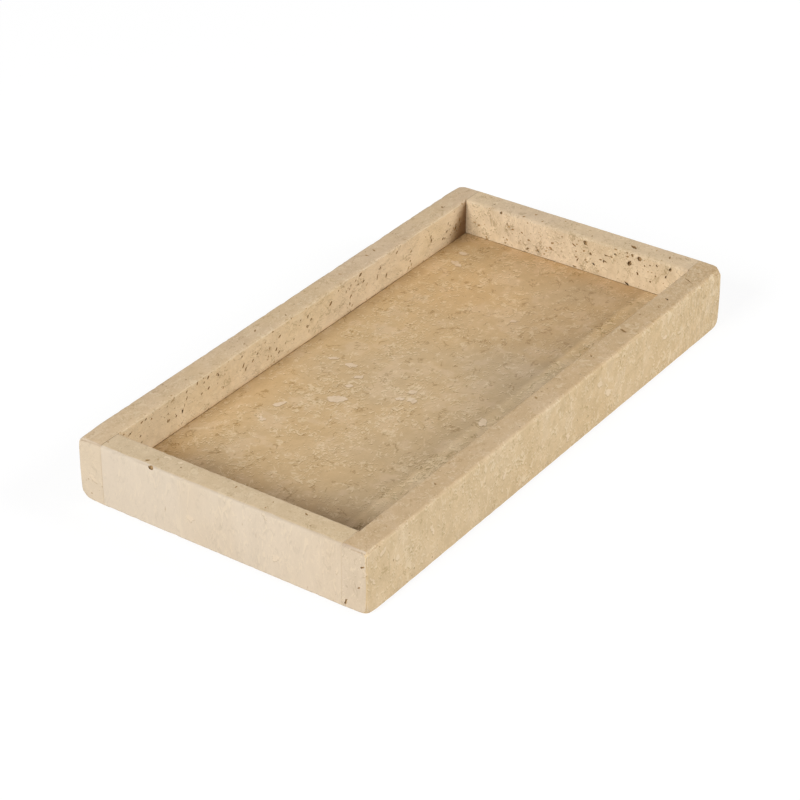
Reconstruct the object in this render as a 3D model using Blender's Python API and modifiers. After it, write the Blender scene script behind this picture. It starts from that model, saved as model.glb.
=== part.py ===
# Travertine tray: four stone rails glued up as a frame round a stone base slab, on four felt pads.
# Metres, +Z up. The origin is under the middle of the tray, on the surface that the pads stand on.
# +X runs along the tray and +Y across it.

from math import cos, pi, radians, sin

import bmesh
import bpy
from mathutils import Matrix, Vector

# Outside of the frame
tray_length = 0.300
tray_width = 0.157
rail_height = 0.0318

# Stone stock
long_rail_thickness = 0.0130
end_rail_thickness = 0.0125
base_thickness = 0.012

# Depth of the well, from the rim down to the base slab
well_depth = 0.0189

# Adhesive joint between two pieces that are glued
glue_gap = 0.0003

# Easing of the outside edges, after the frame is glued up
long_top_edge_radius = 0.0022
end_top_edge_radius = 0.0014
upright_edge_radius = 0.0016
bottom_edge_radius = 0.0010
top_corner_cut = 0.0036
bottom_corner_cut = 0.0044
corner_edge_radius = 0.0012

# Easing of the rim of the well, and of the base slab's edges
rim_radius = 0.0008
base_arris = 0.0004

# Felt pads under the base slab
pad_radius = 0.007
pad_thickness = 0.002
pad_edge_radius = 0.0004
pad_inset = 0.016

# How far stock and cutters run past the faces that they meet
overrun = 0.004

# Facets of the round shapes
edge_segments = 4
pad_sides = 48
weld_distance = 0.00001

# Levels, from the table up
base_underside = pad_thickness + glue_gap
base_top = base_underside + base_thickness
rail_top = base_top + well_depth
rail_underside = rail_top - rail_height

# Faces that the pieces share
half_length = tray_length / 2
half_width = tray_width / 2
well_half_length = half_length - end_rail_thickness
well_half_width = half_width - long_rail_thickness


def clear_scene():
    for old in list(bpy.data.objects):
        bpy.data.objects.remove(old, do_unlink=True)
    for old in list(bpy.data.collections):
        bpy.data.collections.remove(old)


def new_collection(name):
    collection = bpy.data.collections.new(name)
    bpy.context.scene.collection.children.link(collection)
    return collection


def new_material(name, colour, roughness, metallic=0.0):
    material = bpy.data.materials.new(name)
    material.use_nodes = True
    shader = material.node_tree.nodes["Principled BSDF"]
    shader.inputs["Base Color"].default_value = (*colour, 1.0)
    shader.inputs["Roughness"].default_value = roughness
    shader.inputs["Metallic"].default_value = metallic
    material.diffuse_color = (*colour, 1.0)
    return material


def object_from_bmesh(name, shape, collection):
    mesh = bpy.data.meshes.new(name)
    shape.to_mesh(mesh)
    shape.free()
    piece = bpy.data.objects.new(name, mesh)
    collection.objects.link(piece)
    return piece


def box_bmesh(low, high):
    """A box between two corners, from a unit cube."""
    low = Vector(low)
    high = Vector(high)
    size = high - low
    shape = bmesh.new()
    bmesh.ops.create_cube(shape, size=1.0)
    bmesh.ops.scale(shape, vec=size, verts=shape.verts)
    bmesh.ops.translate(shape, vec=(low + high) / 2, verts=shape.verts)
    return shape


def hide_cutter(cutter):
    cutter.hide_render = True
    cutter.display_type = "WIRE"


def cut_with(piece, cutter, operation):
    boolean = piece.modifiers.new(cutter.name, "BOOLEAN")
    boolean.object = cutter
    boolean.operation = operation
    boolean.solver = "EXACT"


def edge_faces_end(edge):
    """True for an edge that runs across the tray, along the top of an end."""
    run = edge.verts[1].co - edge.verts[0].co
    return abs(run.y) > max(abs(run.x), abs(run.z))


def edge_stands(edge):
    run = edge.verts[1].co - edge.verts[0].co
    return abs(run.z) > max(abs(run.x), abs(run.y))


def edge_is_square(edge):
    """True for one of the twelve edges of the block, not one of a corner's small cut."""
    run = (edge.verts[1].co - edge.verts[0].co).normalized()
    return max(abs(run.x), abs(run.y), abs(run.z)) > cos(radians(5))


def eased_radius(edge):
    """The radius that an edge of the glued-up frame is eased to."""
    if not edge_is_square(edge):
        return corner_edge_radius
    if edge_stands(edge):
        return upright_edge_radius
    middle = (edge.verts[0].co + edge.verts[1].co) / 2
    if middle.z < (rail_underside + rail_top) / 2:
        return bottom_edge_radius
    if edge_faces_end(edge):
        return end_top_edge_radius
    return long_top_edge_radius


def cut_corners(shape, on_top, cut):
    middle = (rail_underside + rail_top) / 2
    corners = [corner for corner in shape.verts if (corner.co.z > middle) == on_top]
    bmesh.ops.bevel(shape, geom=corners, offset=cut, offset_type="OFFSET", segments=1,
                    profile=0.5, affect="VERTICES")


def make_eased_block(cutters):
    """The outside of the glued-up frame, with its corners taken off and its edges eased.

    Every rail is trimmed to it, so the easing runs unbroken over the joints.
    """
    shape = box_bmesh((-half_length, -half_width, rail_underside), (half_length, half_width, rail_top))
    corner_sets = ((True, top_corner_cut), (False, bottom_corner_cut))
    for on_top, cut in corner_sets:
        cut_corners(shape, on_top, cut)
    widest = max(long_top_edge_radius, end_top_edge_radius, upright_edge_radius, bottom_edge_radius,
                 corner_edge_radius)
    weight = shape.edges.layers.float.new("bevel_weight_edge")
    for edge in shape.edges:
        edge[weight] = eased_radius(edge) / widest
    block = object_from_bmesh("eased_block", shape, cutters)
    bevel = block.modifiers.new("eased_edges", "BEVEL")
    bevel.limit_method = "WEIGHT"
    bevel.width = widest
    bevel.segments = edge_segments
    bevel.use_clamp_overlap = True
    hide_cutter(block)
    return block


def rim_profile():
    """Corners of the strip that rounds the rim, as (distance out from the well's wall, height)."""
    points = [(-overrun, rail_top + overrun), (-overrun, rail_top - rim_radius)]
    for step in range(edge_segments + 1):
        turn = pi / 2 * step / edge_segments
        out = rim_radius - rim_radius * cos(turn)
        up = rail_top - rim_radius + rim_radius * sin(turn)
        points.append((out, up))
    points.append((rim_radius, rail_top + overrun))
    return points


def make_rim_cutter(cutters):
    """A strip round the well's rim, mitred at its corners, that eases the inner edge."""
    profile = rim_profile()
    corner_signs = ((-1, -1), (1, -1), (1, 1), (-1, 1))
    shape = bmesh.new()
    rings = []
    for out, height in profile:
        ring = []
        for along, across in corner_signs:
            place = (along * (well_half_length + out), across * (well_half_width + out), height)
            ring.append(shape.verts.new(place))
        rings.append(ring)
    for index, ring in enumerate(rings):
        next_ring = rings[(index + 1) % len(rings)]
        for corner in range(len(corner_signs)):
            next_corner = (corner + 1) % len(corner_signs)
            shape.faces.new((ring[corner], ring[next_corner], next_ring[next_corner], next_ring[corner]))
    bmesh.ops.recalc_face_normals(shape, faces=shape.faces)
    cutter = object_from_bmesh("rim_cutter", shape, cutters)
    hide_cutter(cutter)
    return cutter


def settle_shape(piece):
    """Turns the piece's modifiers into its own mesh, and shades its eased edges smooth."""
    evaluated = piece.evaluated_get(bpy.context.evaluated_depsgraph_get())
    mesh = bpy.data.meshes.new_from_object(evaluated)
    piece.modifiers.clear()
    piece.data = mesh
    shape = bmesh.new()
    shape.from_mesh(mesh)
    bmesh.ops.remove_doubles(shape, verts=shape.verts, dist=weld_distance)
    shape.to_mesh(mesh)
    shape.free()
    mesh.shade_smooth()
    mesh.set_sharp_from_angle(angle=radians(40))
    weighted = piece.modifiers.new("flat_faces_stay_flat", "WEIGHTED_NORMAL")
    weighted.keep_sharp = True


def make_rail(name, low, high, eased_block, rim_cutter, material, parts):
    """A length of slab stock, trimmed to the eased outside and eased along the rim."""
    rail = object_from_bmesh(name, box_bmesh(low, high), parts)
    rail.data.materials.append(material)
    cut_with(rail, eased_block, "INTERSECT")
    cut_with(rail, rim_cutter, "DIFFERENCE")
    bpy.context.view_layer.update()
    settle_shape(rail)
    return rail


def make_long_rail(name, side, eased_block, rim_cutter, material, parts):
    """A rail along the whole length, on the side of +Y (1) or -Y (-1)."""
    inner = side * well_half_width
    outer = side * (half_width + overrun)
    low = (-half_length - overrun, min(inner, outer), rail_underside - overrun)
    high = (half_length + overrun, max(inner, outer), rail_top + overrun)
    return make_rail(name, low, high, eased_block, rim_cutter, material, parts)


def make_end_rail(name, end, eased_block, rim_cutter, material, parts):
    """A rail across one end, butted between the long rails, at +X (1) or -X (-1)."""
    inner = end * well_half_length
    outer = end * (half_length + overrun)
    half_span = well_half_width - glue_gap
    low = (min(inner, outer), -half_span, rail_underside - overrun)
    high = (max(inner, outer), half_span, rail_top + overrun)
    return make_rail(name, low, high, eased_block, rim_cutter, material, parts)


def make_base_slab(material, parts):
    """The floor of the well, set in between the four rails."""
    half_x = well_half_length - glue_gap
    half_y = well_half_width - glue_gap
    shape = box_bmesh((-half_x, -half_y, base_underside), (half_x, half_y, base_top))
    slab = object_from_bmesh("base_slab", shape, parts)
    slab.data.materials.append(material)
    bevel = slab.modifiers.new("arris", "BEVEL")
    bevel.width = base_arris
    bevel.segments = 2
    bpy.context.view_layer.update()
    settle_shape(slab)
    return slab


def make_pad(name, end, side, material, parts):
    """A felt disc under one corner of the base slab, with its lower edge rounded."""
    shape = bmesh.new()
    bmesh.ops.create_cone(shape, cap_ends=True, cap_tris=False, segments=pad_sides, radius1=pad_radius,
                          radius2=pad_radius, depth=pad_thickness)
    lower_rim = [edge for edge in shape.edges if edge.verts[0].co.z < 0 and edge.verts[1].co.z < 0]
    bmesh.ops.bevel(shape, geom=lower_rim, offset=pad_edge_radius, offset_type="OFFSET",
                    segments=2, profile=0.5, affect="EDGES")
    pad = object_from_bmesh(name, shape, parts)
    place = (end * (well_half_length - glue_gap - pad_inset),
             side * (well_half_width - glue_gap - pad_inset),
             pad_thickness / 2)
    pad.data.transform(Matrix.Translation(place))
    pad.data.materials.append(material)
    pad.data.shade_smooth()
    pad.data.set_sharp_from_angle(angle=radians(40))
    return pad


def build_tray():
    clear_scene()
    parts = new_collection("travertine_tray")
    cutters = new_collection("cutters")
    long_rail_stone = new_material("long_rail_travertine", (0.66, 0.50, 0.32), 0.55)
    end_rail_stone = new_material("end_rail_travertine", (0.74, 0.62, 0.46), 0.55)
    base_stone = new_material("base_travertine", (0.56, 0.40, 0.22), 0.50)
    felt = new_material("pad_felt", (0.55, 0.51, 0.45), 0.95)
    eased_block = make_eased_block(cutters)
    rim_cutter = make_rim_cutter(cutters)
    make_long_rail("long_rail_right", -1, eased_block, rim_cutter, long_rail_stone, parts)
    make_long_rail("long_rail_left", 1, eased_block, rim_cutter, long_rail_stone, parts)
    make_end_rail("end_rail_near", -1, eased_block, rim_cutter, end_rail_stone, parts)
    make_end_rail("end_rail_far", 1, eased_block, rim_cutter, end_rail_stone, parts)
    make_base_slab(base_stone, parts)
    for end, end_name in ((-1, "near"), (1, "far")):
        for side, side_name in ((-1, "right"), (1, "left")):
            make_pad(f"pad_{end_name}_{side_name}", end, side, felt, parts)


build_tray()
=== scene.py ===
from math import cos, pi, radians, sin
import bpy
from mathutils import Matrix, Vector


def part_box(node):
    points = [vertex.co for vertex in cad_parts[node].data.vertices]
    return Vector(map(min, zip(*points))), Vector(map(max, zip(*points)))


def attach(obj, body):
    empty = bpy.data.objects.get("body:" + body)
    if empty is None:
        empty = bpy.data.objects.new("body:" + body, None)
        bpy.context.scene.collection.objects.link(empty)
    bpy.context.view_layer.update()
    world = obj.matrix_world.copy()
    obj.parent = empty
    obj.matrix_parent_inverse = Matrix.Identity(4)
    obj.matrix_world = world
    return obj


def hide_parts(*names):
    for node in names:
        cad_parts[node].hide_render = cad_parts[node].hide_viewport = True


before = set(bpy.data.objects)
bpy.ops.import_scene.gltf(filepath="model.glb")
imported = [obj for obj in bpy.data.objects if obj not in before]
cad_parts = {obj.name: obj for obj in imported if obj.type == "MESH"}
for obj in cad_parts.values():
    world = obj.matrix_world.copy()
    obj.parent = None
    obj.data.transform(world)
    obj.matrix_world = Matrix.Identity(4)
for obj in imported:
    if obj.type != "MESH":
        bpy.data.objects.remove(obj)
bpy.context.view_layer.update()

# Looks of the travertine tray: honed, unfilled travertine with open pores, chips and eased edges.
# Metres, +Z up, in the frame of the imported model. Colours are written as sRGB values from 0 to 255.

from types import SimpleNamespace

import bmesh
import bpy
from mathutils import Matrix, Vector, noise

# Faces that the pieces share, read from the frame
right_low, right_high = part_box("long_rail_right")
left_low, left_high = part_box("long_rail_left")
far_low, far_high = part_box("end_rail_far")
slab_low, slab_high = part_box("base_slab")
half_length = right_high.x
half_width = left_high.y
rail_top = right_high.z
rail_bottom = right_low.z
well_x = far_low.x
well_y = left_low.y
floor_level = slab_high.z
end_rail_side = far_high.y

# Easing of the edges, as the rails are cut
long_top_radius = 0.0022
end_bottom_radius = 0.0010

# Radii by the side that the edge lies on: -1 for the near end or the right side, 1 for the other one
end_top_radii = {-1: 0.0017, 1: 0.0008}
long_bottom_radii = {-1: 0.0006, 1: 0.0010}

# Rounding of each upright edge and corner, by the side that it lies on along X and across Y
upright_radii = {(-1, -1): 0.0009, (-1, 1): 0.0007, (1, -1): 0.0030, (1, 1): 0.0016}
top_corners = {(-1, -1): 0.0017, (-1, 1): 0.0022, (1, -1): 0.0034, (1, 1): 0.0032}
bottom_corners = {(-1, -1): 0.0027, (-1, 1): 0.0040, (1, -1): 0.0036, (1, 1): 0.0040}
tray_corners = ((-1, -1), (1, -1), (1, 1), (-1, 1))

# Easing round the well's rim: its depth, and how many times wider than deep it is on the sides as above
rim_depth = 0.0008
rim_stretch = {-1: 1.0, 1: 2.8}
slab_arris = 0.0004
edge_segments = 7

# Mesh of the stone
overrun = 0.004
grid_step = 0.0020
weld_distance = 0.000002
sharp_angle = radians(40)

# Unevenness of the honed faces, and wear along the eased edges
face_wave_depth = 0.00007
face_wave_size = 0.028
edge_wear_depth = 0.00060
edge_wear_size = 0.0034
worn_roundness = 0.20
worn_flat = 0.995
bite_start = 0.10
noise_step = Vector((0.37, 0.11, 0.53))
corner_wear_depth = 0.00045
corner_wear_reach = 0.016
soft_corner_reach = 0.008
soft_corner_passes = 5

# A fixed seed for the noise that makes the seen pores ragged, without which each run gives other ones
noise.seed_set(5)

# Resin in the joints lies a little below the stone
resin_sink = 0.00006

# Marks seen in the photo are listed in millimetres
per_metre = 1000

# Camera, fitted to the edges of the tray in the photo
camera_azimuth = radians(-54.883)
camera_elevation = radians(31.566)
camera_distance = 1.2267
camera_target = Vector((-0.00109, 0.00963, rail_bottom + 0.0002))
sensor_width = 36.0
focal_length = 116.62

# Studio light, fitted to the shading of the tray in the photo
ambient_level = 0.14
lamp_distance = 3.0
right_lamp = {"direction": (0.52, -0.82, 0.54), "size": 1.5, "power": 66.0}
left_lamp = {"direction": (-0.93, 0.10, 0.52), "size": 1.2, "power": 84.0}


def srgb(red, green, blue):
    """A colour from 0 to 255 values, as the linear colour that a shader takes."""
    linear = []
    for value in (red, green, blue):
        share = value / 255
        linear.append(share / 12.92 if share <= 0.04045 else ((share + 0.055) / 1.055) ** 2.4)
    return (*linear, 1.0)


# Meshes

def object_from_bmesh(name, shape):
    mesh = bpy.data.meshes.new(name)
    shape.to_mesh(mesh)
    shape.free()
    piece = bpy.data.objects.new(name, mesh)
    bpy.context.scene.collection.objects.link(piece)
    return piece


def box_bmesh(low, high):
    shape = bmesh.new()
    bmesh.ops.create_cube(shape, size=1.0)
    low = Vector(low)
    high = Vector(high)
    bmesh.ops.scale(shape, vec=high - low, verts=shape.verts)
    bmesh.ops.translate(shape, vec=(low + high) / 2, verts=shape.verts)
    return shape


def settled(piece):
    """The piece's mesh with its modifiers applied, as a new mesh. The modifiers are removed."""
    bpy.context.view_layer.update()
    evaluated = piece.evaluated_get(bpy.context.evaluated_depsgraph_get())
    mesh = bpy.data.meshes.new_from_object(evaluated)
    piece.modifiers.clear()
    return mesh


def remove_object(piece):
    bpy.data.objects.remove(piece, do_unlink=True)


def add_boolean(piece, cutter, operation, solver):
    boolean = piece.modifiers.new(cutter.name, "BOOLEAN")
    boolean.object = cutter
    boolean.operation = operation
    boolean.solver = solver
    if solver == "EXACT":
        boolean.material_mode = "TRANSFER"


def corner_points(tip, inward, rounding, radii):
    """Points where the eased edges meet in one corner. radii are those of the edges along X, Y and Z."""
    axes = (Vector((1, 0, 0)), Vector((0, 1, 0)), Vector((0, 0, 1)))
    inward_axes = [axis * side for axis, side in zip(axes, inward)]
    turns = [pi / 2 * step / edge_segments for step in range(edge_segments + 1)]
    points = []
    for run in range(3):
        first = (run + 1) % 3
        second = (run + 2) % 3
        back = max(rounding, radii[first], radii[second])
        for turn in turns:
            points.append(tip + inward_axes[run] * back
                          + inward_axes[first] * (radii[run] * (1 - cos(turn)))
                          + inward_axes[second] * (radii[run] * (1 - sin(turn))))
    for turn in turns[1:-1]:
        for lift in turns[1:-1]:
            reach = Vector((cos(turn) * cos(lift), sin(turn) * cos(lift), sin(lift)))
            shifts = [axis * rounding * (1 - share) for axis, share in zip(inward_axes, reach)]
            points.append(tip + sum(shifts, Vector()))
    return points


def make_eased_block(name, sink):
    """The outside of the glued-up frame, edges and corners eased, sunk by sink all round."""
    low = Vector((-half_length, -half_width, rail_bottom)) + Vector((sink, sink, sink))
    high = Vector((half_length, half_width, rail_top)) - Vector((sink, sink, sink))
    shape = bmesh.new()
    for on_top, corners in ((True, top_corners), (False, bottom_corners)):
        for (along, across), rounding in corners.items():
            tip = Vector((along * high.x, across * high.y, high.z if on_top else low.z))
            upright = upright_radii[(along, across)]
            radii = (long_top_radius, end_top_radii[along], upright) if on_top else (
                long_bottom_radii[across], end_bottom_radius, upright)
            for point in corner_points(tip, (-along, -across, -1 if on_top else 1), rounding, radii):
                shape.verts.new(point)
    hull = bmesh.ops.convex_hull(shape, input=shape.verts)
    inside = hull["geom_interior"] + hull["geom_unused"]
    spare = {item for item in inside if isinstance(item, bmesh.types.BMVert)}
    bmesh.ops.delete(shape, geom=list(spare), context="VERTS")
    bmesh.ops.dissolve_limit(shape, angle_limit=radians(0.02), verts=shape.verts, edges=shape.edges)
    bmesh.ops.recalc_face_normals(shape, faces=shape.faces)
    return object_from_bmesh(name, shape)


def make_strip(name, rings):
    """A closed strip round the tray. Each ring is one line of it, as its places at the four corners."""
    shape = bmesh.new()
    rings = [[shape.verts.new(place) for place in ring] for ring in rings]
    for ring, after in zip(rings, rings[1:] + rings[:1]):
        for corner in range(len(ring)):
            turned = (corner + 1) % len(ring)
            shape.faces.new((ring[corner], ring[turned], after[turned], after[corner]))
    bmesh.ops.recalc_face_normals(shape, faces=shape.faces)
    return object_from_bmesh(name, shape)


def make_rim_cutter():
    """A strip round the well's rim, mitred at its corners, that eases the inner edge."""
    profile = [(-overrun, rail_top + overrun), (-overrun, rail_top - rim_depth)]
    for step in range(edge_segments + 1):
        turn = pi / 2 * step / edge_segments
        profile.append((rim_depth * (1 - cos(turn)), rail_top - rim_depth * (1 - sin(turn))))
    profile.append((rim_depth, rail_top + overrun))
    rings = [[(along * (well_x + out * rim_stretch[along]),
               across * (well_y + out * rim_stretch[across]), height)
              for along, across in tray_corners] for out, height in profile]
    return make_strip("rim_cutter", rings)


def slice_evenly(shape, low, high):
    """Cuts the shape's faces by evenly spaced planes, so that it can be worn and takes pores cleanly."""
    for axis in range(3):
        normal = Vector((axis == 0, axis == 1, axis == 2))
        span = high[axis] - low[axis]
        cuts = max(1, round(span / grid_step))
        for index in range(1, cuts):
            place = normal * (low[axis] + span * index / cuts)
            bmesh.ops.bisect_plane(shape, geom=shape.verts[:] + shape.edges[:] + shape.faces[:],
                                   dist=weld_distance, plane_co=place, plane_no=normal)


def is_worn(place, normal):
    """True where the surface belongs to the outside or the rim, and not to a glued joint."""
    margin = 0.00005
    on_outside = (abs(place.x) > half_length - margin or abs(place.y) > half_width - margin
                  or place.z > rail_top - margin or place.z < rail_bottom + margin)
    return on_outside or max(abs(normal.x), abs(normal.y), abs(normal.z)) < worn_flat


def in_joint(place):
    """True on the faces that meet in the glued joints between the rails."""
    across = abs(place.y)
    nearest = min(abs(across - well_y), abs(across - end_rail_side))
    return abs(place.x) > well_x + overrun / 4 and nearest < weld_distance * 5


def corner_gap(place):
    """How far a place is from the nearest corner of the tray."""
    height = rail_top if place.z > (rail_top + rail_bottom) / 2 else rail_bottom
    return Vector((half_length - abs(place.x), half_width - abs(place.y), height - place.z)).length


def corner_share(place):
    """1 at a corner of the tray, down to 0 where its wear ends."""
    share = max(0.0, 1 - corner_gap(place) / corner_wear_reach)
    return share * share * (3 - 2 * share)


def soften_corners(shape):
    """Smooths the mesh where the eased edges run into a corner of the tray."""
    near = [vert for vert in shape.verts if corner_gap(vert.co) < soft_corner_reach]
    for _ in range(soft_corner_passes if near else 0):
        bmesh.ops.smooth_vert(shape, verts=near, factor=0.5,
                              use_axis_x=True, use_axis_y=True, use_axis_z=True)


def wear_surface(shape, seed):
    """Sinks the surface a little, most along the eased edges, as grinding and handling leave it."""
    shape.normal_update()
    shift = noise_step * seed
    moves = []
    for vert in shape.verts:
        normal = vert.normal
        roundness = 1 - max(abs(normal.x), abs(normal.y), abs(normal.z))
        edge_share = 0.0 if in_joint(vert.co) else min(1.0, roundness / worn_roundness)
        wave = 0.5 + 0.5 * noise.noise((vert.co + shift) / face_wave_size)
        rough = noise.fractal((vert.co + shift) / edge_wear_size, 1.0, 2.1, 3)
        bite = max(0.0, rough - bite_start) * edge_share
        depth = face_wave_depth * wave + edge_wear_depth * bite
        depth += corner_wear_depth * corner_share(vert.co) * edge_share
        moves.append(normal * depth if is_worn(vert.co, normal) else Vector())
    for vert, move in zip(shape.verts, moves):
        vert.co -= move


def make_rail_blank(name, low, high, block, rim, seed):
    """A rail cut from stock, eased and worn, before its pores are opened."""
    rail = object_from_bmesh(name, box_bmesh(low, high))
    add_boolean(rail, block, "INTERSECT", "EXACT")
    add_boolean(rail, rim, "DIFFERENCE", "EXACT")
    mesh = settled(rail)
    shape = bmesh.new()
    shape.from_mesh(mesh)
    bmesh.ops.remove_doubles(shape, verts=shape.verts, dist=weld_distance)
    places = [vert.co for vert in shape.verts]
    lowest = Vector([min(place[axis] for place in places) for axis in range(3)])
    highest = Vector([max(place[axis] for place in places) for axis in range(3)])
    slice_evenly(shape, lowest, highest)
    soften_corners(shape)
    wear_surface(shape, seed)
    for face in shape.faces:
        face.material_index = 0
    mesh.materials.clear()
    shape.to_mesh(mesh)
    shape.free()
    rail.data = mesh
    return rail


# Node helpers

def connect(source, target):
    """Joins an output to an input, or sets the input to a constant."""
    if isinstance(source, bpy.types.NodeSocket):
        target.id_data.links.new(source, target)
    else:
        target.default_value = source


def set_inputs(node, values):
    """Sets a node's inputs, found by name or number, to constants or outputs."""
    for socket, value in values.items():
        connect(value, node.inputs[socket])


def add_node(tree, kind, values=None, **settings):
    node = tree.nodes.new(kind)
    for key, value in settings.items():
        setattr(node, key, value)
    set_inputs(node, values or {})
    return node


def tree_of(*values):
    """The tree that the first output among some values lies in."""
    return next(value.id_data for value in values if isinstance(value, bpy.types.NodeSocket))


def calculate(operation, *values):
    node = add_node(tree_of(*values), "ShaderNodeMath", dict(enumerate(values)), operation=operation)
    return node.outputs[0]


def times(first, second):
    return calculate("MULTIPLY", first, second)


def plus(first, second):
    return calculate("ADD", first, second)


def minus(first, second):
    return calculate("SUBTRACT", first, second)


def times_plus(first, second, third):
    return calculate("MULTIPLY_ADD", first, second, third)


def vector_math(operation, first, second=(0.0, 0.0, 0.0)):
    node = add_node(tree_of(first, second), "ShaderNodeVectorMath", {0: first}, operation=operation)
    connect(second, node.inputs["Scale"] if operation == "SCALE" else node.inputs[1])
    return node.outputs["Value"] if operation in ("LENGTH", "DOT_PRODUCT") else node.outputs["Vector"]


# Pores: hollows that are scattered over a face by a geometry tree, and single ones seen in the photo

# How far a hollow's middle lies outside the face, as a share of its depth, so that it opens like a dish
pore_lift = 0.35

# How scattered hollows differ: a power that favours small ones, their stretch and their lean in radians
size_power = 2.6
stretch_range = (0.7, 1.4)
lean_range = (-0.5, 0.5)

# Ragged walls: how fine and how deep on scattered hollows, and the same on seen ones in shares of their size
ragged_scale = 1100.0
ragged_depth = 0.0008
seen_ragged_scale = 1.7
seen_ragged_share = 0.48
seen_draw_scale = 900


def random_value(tree, seed, lowest=0.0, highest=1.0):
    """A number drawn for each point."""
    return add_node(tree, "FunctionNodeRandomValue", {2: lowest, 3: highest, "Seed": seed},
                    data_type="FLOAT").outputs[1]


def build_pore_tree():
    """A geometry tree that scatters rough hollows over a flat sheet, in patches."""
    tree = bpy.data.node_groups.new("open_pores", "GeometryNodeTree")
    tree.interface.new_socket("Sheet", in_out="INPUT", socket_type="NodeSocketGeometry")
    for label in ("Density", "Smallest", "Largest", "Stretch", "Depth", "Lean", "Patch Size", "Cover",
                  "Seed"):
        tree.interface.new_socket(label, in_out="INPUT", socket_type="NodeSocketFloat")
    tree.interface.new_socket("Wall", in_out="INPUT", socket_type="NodeSocketMaterial")
    tree.interface.new_socket("Pores", in_out="OUTPUT", socket_type="NodeSocketGeometry")
    given = add_node(tree, "NodeGroupInput").outputs
    seed = given["Seed"]
    place = add_node(tree, "GeometryNodeInputPosition").outputs[0]

    scatter = add_node(tree, "GeometryNodeDistributePointsOnFaces",
                       {"Mesh": given["Sheet"], "Density": given["Density"], "Seed": seed},
                       distribute_method="RANDOM")
    patches = add_node(tree, "ShaderNodeTexNoise",
                       {"Vector": place, "W": seed, "Scale": calculate("DIVIDE", 1.0, given["Patch Size"]),
                        "Detail": 1.5}, noise_dimensions="4D")
    kept = calculate("GREATER_THAN", plus(patches.outputs[0], given["Cover"]), 1.0)

    mostly_small = calculate("POWER", random_value(tree, seed), size_power)
    size = times_plus(mostly_small, minus(given["Largest"], given["Smallest"]), given["Smallest"])
    stretch = times(given["Stretch"], random_value(tree, plus(seed, 7.0), *stretch_range))
    scale = add_node(tree, "ShaderNodeCombineXYZ",
                     {0: times(size, stretch), 1: size, 2: times(size, given["Depth"])})
    lean = plus(given["Lean"], random_value(tree, plus(seed, 13.0), *lean_range))
    turn = add_node(tree, "FunctionNodeAxisAngleToRotation", {"Angle": lean})

    ball = add_node(tree, "GeometryNodeMeshUVSphere", {"Radius": 1.0, "Segments": 8, "Rings": 6})
    raised = add_node(tree, "GeometryNodeTransform",
                      {"Geometry": ball.outputs["Mesh"], "Translation": (0.0, 0.0, pore_lift)})
    hollows = add_node(tree, "GeometryNodeInstanceOnPoints",
                       {"Points": scatter.outputs["Points"], "Selection": kept, "Instance": raised.outputs[0],
                        "Rotation": turn.outputs[0], "Scale": scale.outputs[0]})
    real = add_node(tree, "GeometryNodeRealizeInstances", {0: hollows.outputs[0]})

    ragged = add_node(tree, "ShaderNodeTexNoise",
                      {"Vector": place, "W": seed, "Scale": ragged_scale, "Detail": 2.0},
                      noise_dimensions="4D")
    centred = vector_math("SUBTRACT", ragged.outputs["Color"], (0.5, 0.5, 0.5))
    rough = add_node(tree, "GeometryNodeSetPosition",
                     {"Geometry": real.outputs[0], "Offset": vector_math("SCALE", centred, ragged_depth)})
    painted = add_node(tree, "GeometryNodeSetMaterial",
                       {"Geometry": rough.outputs[0], "Material": given["Wall"]})
    add_node(tree, "NodeGroupOutput", {0: painted.outputs[0]})
    return tree


def set_input(modifier, label, value):
    for item in modifier.node_group.interface.items_tree:
        if item.item_type == "SOCKET" and item.name == label and item.in_out == "INPUT":
            modifier[item.identifier] = value


def scatter_pores(face, settings, seed):
    """Pores over one face, as a mesh. The face's own +Z points out of the stone."""
    turned, width, height = face
    shape = bmesh.new()
    bmesh.ops.create_grid(shape, x_segments=1, y_segments=1, size=0.5)
    bmesh.ops.scale(shape, vec=(width, height, 1), verts=shape.verts)
    sheet = object_from_bmesh("pore_sheet", shape)
    modifier = sheet.modifiers.new("open_pores", "NODES")
    modifier.node_group = pore_tree
    for label, value in settings.items():
        set_input(modifier, label, value)
    set_input(modifier, "Seed", float(seed))
    set_input(modifier, "Wall", pore_wall)
    mesh = settled(sheet)
    remove_object(sheet)
    mesh.transform(turned)
    return mesh


def face_place(centre, along, up):
    """The place of a face: its X runs along, its Y up and its Z out of the stone."""
    along = Vector(along)
    up = Vector(up)
    turn = Matrix((along, up, along.cross(up))).transposed().to_4x4()
    return Matrix.Translation(centre) @ turn


def spot_place(face, across, height, lean):
    """The place of a spot on a face, from millimetres along and up the face and degrees of lean."""
    return (face @ Matrix.Translation((across / per_metre, height / per_metre, 0))
            @ Matrix.Rotation(radians(lean), 4, "Z"))


def seen_pore(face, across, height, half_length, half_height, lean):
    """One rough hollow on a face, as a mesh. Its sizes are in millimetres and its lean in degrees."""
    reach_x = half_length / per_metre
    reach_y = half_height / per_metre
    depth = seen_pore_depth * half_height / per_metre
    place = spot_place(face, across, height, lean)
    centre = place.translation
    shape = bmesh.new()
    bmesh.ops.create_icosphere(shape, subdivisions=3, radius=1.0)
    for vert in shape.verts:
        push = noise.noise_vector(vert.co * seen_ragged_scale + centre * seen_draw_scale) * seen_ragged_share
        swell = vert.co + push
        vert.co = place @ Vector((swell.x * reach_x, swell.y * reach_y, (swell.z + pore_lift) * depth))
    mesh = bpy.data.meshes.new("seen_pore")
    shape.to_mesh(mesh)
    shape.free()
    return mesh


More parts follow.
